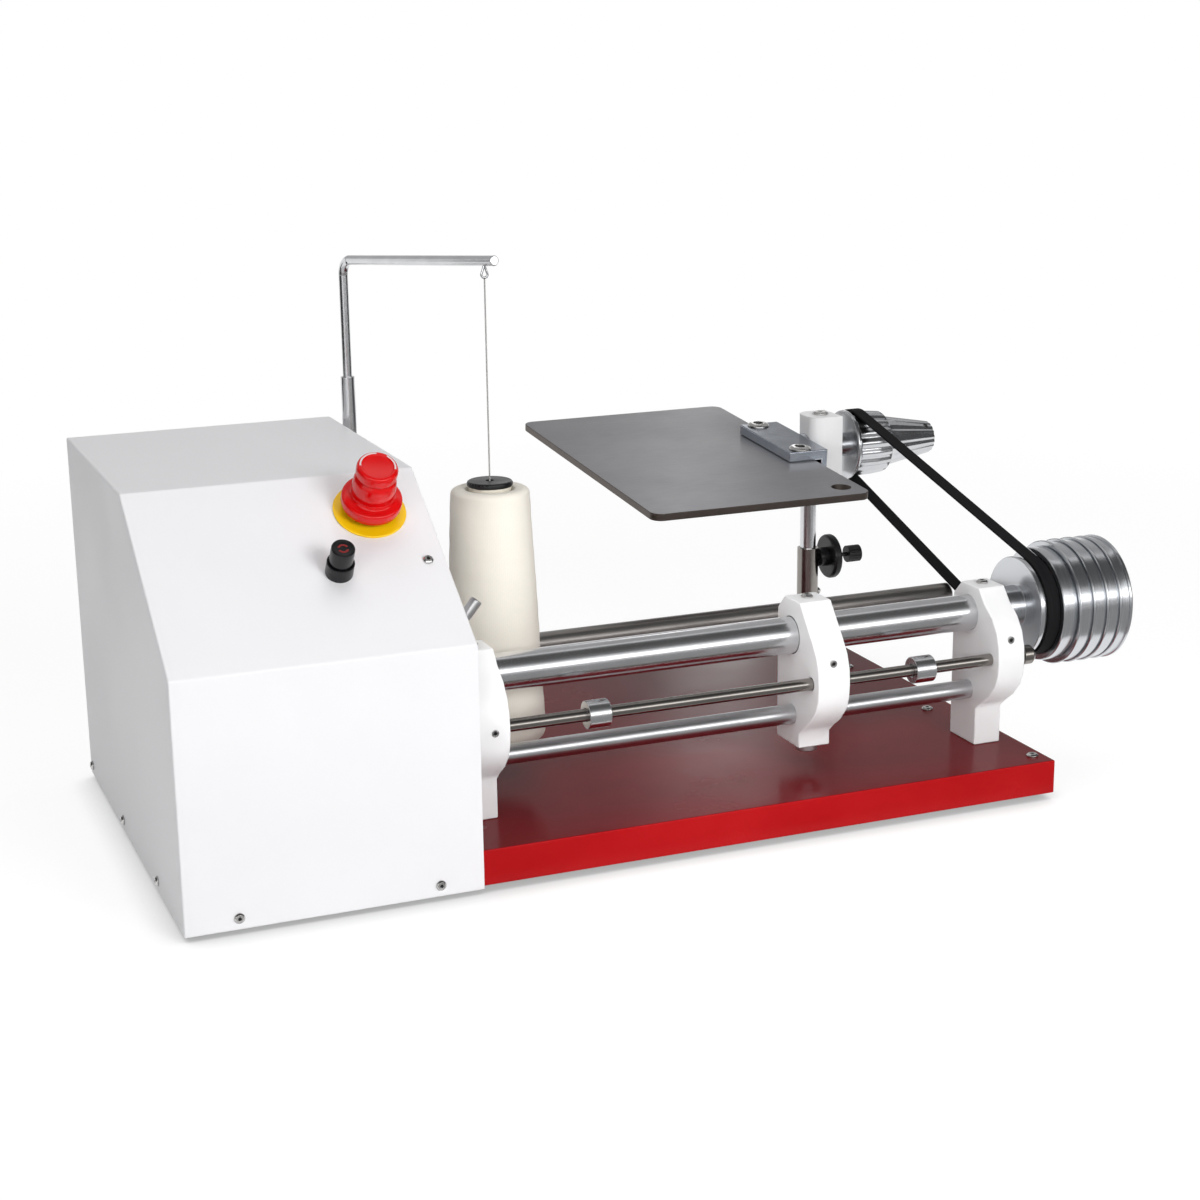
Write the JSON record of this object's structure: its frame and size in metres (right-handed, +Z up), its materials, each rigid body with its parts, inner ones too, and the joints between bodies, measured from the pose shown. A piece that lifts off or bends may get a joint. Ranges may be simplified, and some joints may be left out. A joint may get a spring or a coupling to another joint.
{
  "type": "yarn appearance board winder",
  "caption": "Bench winder that lays yarn on a flat board: housing with controls, traverse carriage on a shaft, stepped pulley, belt and a turning board on a post.",
  "frame": {"origin": "middle of the bounding box, on the surface that the rubber feet stand on", "axes": "+X along the main shaft away from the housing, +Y from the control panel to the rear, +Z up"},
  "size_m": [0.8126, 0.5324, 0.457],
  "materials": {
    "white_coat": "satin powder coat",
    "red_paint": "gloss",
    "plain_steel": "satin",
    "white_plastic": "machined",
    "chromed_steel": "polished",
    "pulley_metal": "turned",
    "zinc_plate": "zinc plated",
    "dark_board": "satin laminate",
    "black_rubber": "matt",
    "black_plastic": "satin",
    "yellow_plastic": "gloss",
    "red_plastic": "gloss",
    "yarn": "spun",
    "card_tube": "plain"
  },
  "bodies": {
    "frame": {"base_tray": "red_paint", "bottom_plate": "plain_steel", "rubber_feet": "black_rubber", "hood": "white_coat", "rear_panel": "white_coat", "power_inlet": "black_plastic", "hood_screws": "plain_steel", "left_bracket": "white_plastic", "right_bracket": "white_plastic", "bracket_screws": "plain_steel", "shaft_bushes": "white_plastic", "guide_rod": "chromed_steel", "rear_rail": "plain_steel", "rail_pedestal": "plain_steel", "motor": "black_plastic", "motor_mount": "plain_steel", "control_box": "zinc_plate", "estop_ring": "yellow_plastic", "estop_collar": "black_plastic", "contact_blocks": "black_plastic", "button_bezel": "black_plastic", "cone_stand": "chromed_steel", "post_sleeve": "plain_steel", "post_screws": "plain_steel", "guide_post": "chromed_steel", "guide_pin": "plain_steel", "base_screws": "plain_steel", "belt": "black_rubber"},
    "drive": {"main_shaft": "chromed_steel", "step_pulley": "pulley_metal", "shaft_coupling": "plain_steel", "motor_shaft": "plain_steel"},
    "carriage": {"carriage": "white_plastic", "rolling_rings": "plain_steel", "carriage_bush": "white_plastic", "carriage_screws": "plain_steel", "carriage_foot": "plain_steel"},
    "shift": {"shift_rod": "plain_steel"},
    "stop_left": {"collar_left": "chromed_steel"},
    "stop_right": {"collar_right": "chromed_steel"},
    "post": {"post_rod": "chromed_steel", "bearing_block": "white_plastic", "spindle_bearings": "plain_steel", "block_screw": "plain_steel"},
    "turner": {"spindle": "chromed_steel", "cone_pulley": "pulley_metal", "board_clamp": "zinc_plate", "clamp_screws": "plain_steel"},
    "sample_board": {"board": "dark_board"},
    "knob": {"post_knob": "black_plastic"},
    "thumb": {"thumb_screw": "black_plastic"},
    "stop_stem": {"estop_stem": "black_plastic"},
    "stop_head": {"estop_head": "red_plastic"},
    "start_button": {"button_cap": "black_plastic"},
    "yarn_arm": {"guide_arm": "chromed_steel", "thread_eye": "chromed_steel", "thread": "yarn"},
    "package": {"yarn_cone": "yarn", "cone_tube": "card_tube", "cone_cap": "black_plastic"}
  },
  "joints": [
    {"name": "shaft_spin", "type": "hinge", "parent": "frame", "child": "drive", "pos_m": [0.33335, -0.18603, 0.146], "axis": [1, 0, 0], "continuous": true},
    {"name": "carriage_travel", "type": "slide", "parent": "frame", "child": "carriage", "axis": [1, 0, 0], "range_m": [-0.169, 0.056]},
    {"name": "shift_travel", "type": "slide", "parent": "frame", "child": "shift", "axis": [1, 0, 0], "range_m": [-0.003, 0.003]},
    {"name": "stop_left_travel", "type": "slide", "parent": "shift", "child": "stop_left", "axis": [1, 0, 0], "range_m": [-0.05, 0]},
    {"name": "stop_right_travel", "type": "slide", "parent": "shift", "child": "stop_right", "axis": [1, 0, 0], "range_m": [0, 0.045]},
    {"name": "post_height", "type": "slide", "parent": "frame", "child": "post", "axis": [0, 0, 1], "range_m": [-0.008, 0.004], "deforming": ["belt"]},
    {"name": "board_spin", "type": "hinge", "parent": "post", "child": "turner", "pos_m": [0.32685, 0.10597, 0.233], "axis": [1, 0, 0], "continuous": true},
    {"name": "board_pull", "type": "slide", "parent": "turner", "child": "sample_board", "axis": [-1, 0, 0], "range_m": [0, 0.06]},
    {"name": "knob_turn", "type": "hinge", "parent": "frame", "child": "knob", "pos_m": [0.29835, 0.10597, 0.1255], "axis": [1, 0, 0], "range_deg": [0, 360]},
    {"name": "thumb_turn", "type": "hinge", "parent": "knob", "child": "thumb", "pos_m": [0.31835, 0.10597, 0.1255], "axis": [1, 0, 0], "range_deg": [0, 360]},
    {"name": "stop_push", "type": "slide", "parent": "frame", "child": "stop_stem", "axis": [0, 0.5738, -0.819], "range_m": [0, 0.004]},
    {"name": "stop_twist", "type": "hinge", "parent": "stop_stem", "child": "stop_head", "pos_m": [-0.22415, -0.15061, 0.27347], "axis": [0, -0.5738, 0.819], "range_deg": [-45, 0], "stiffness_Nm_per_rad": 0.2},
    {"name": "start_push", "type": "slide", "parent": "frame", "child": "start_button", "axis": [0, 0.5738, -0.819], "range_m": [0, 0.0035], "stiffness_N_per_m": 400, "springref_m": -0.002},
    {"name": "arm_height", "type": "slide", "parent": "frame", "child": "yarn_arm", "axis": [0, 0, 1], "range_m": [-0.03, 0.05]},
    {"name": "package_lift", "type": "slide", "parent": "frame", "child": "package", "axis": [0, 0, 1], "range_m": [0, 0.1]}
  ],
  "couplings": [
    {"joint": "board_spin", "follows": "shaft_spin", "ratio": 1.3145}
  ]
}
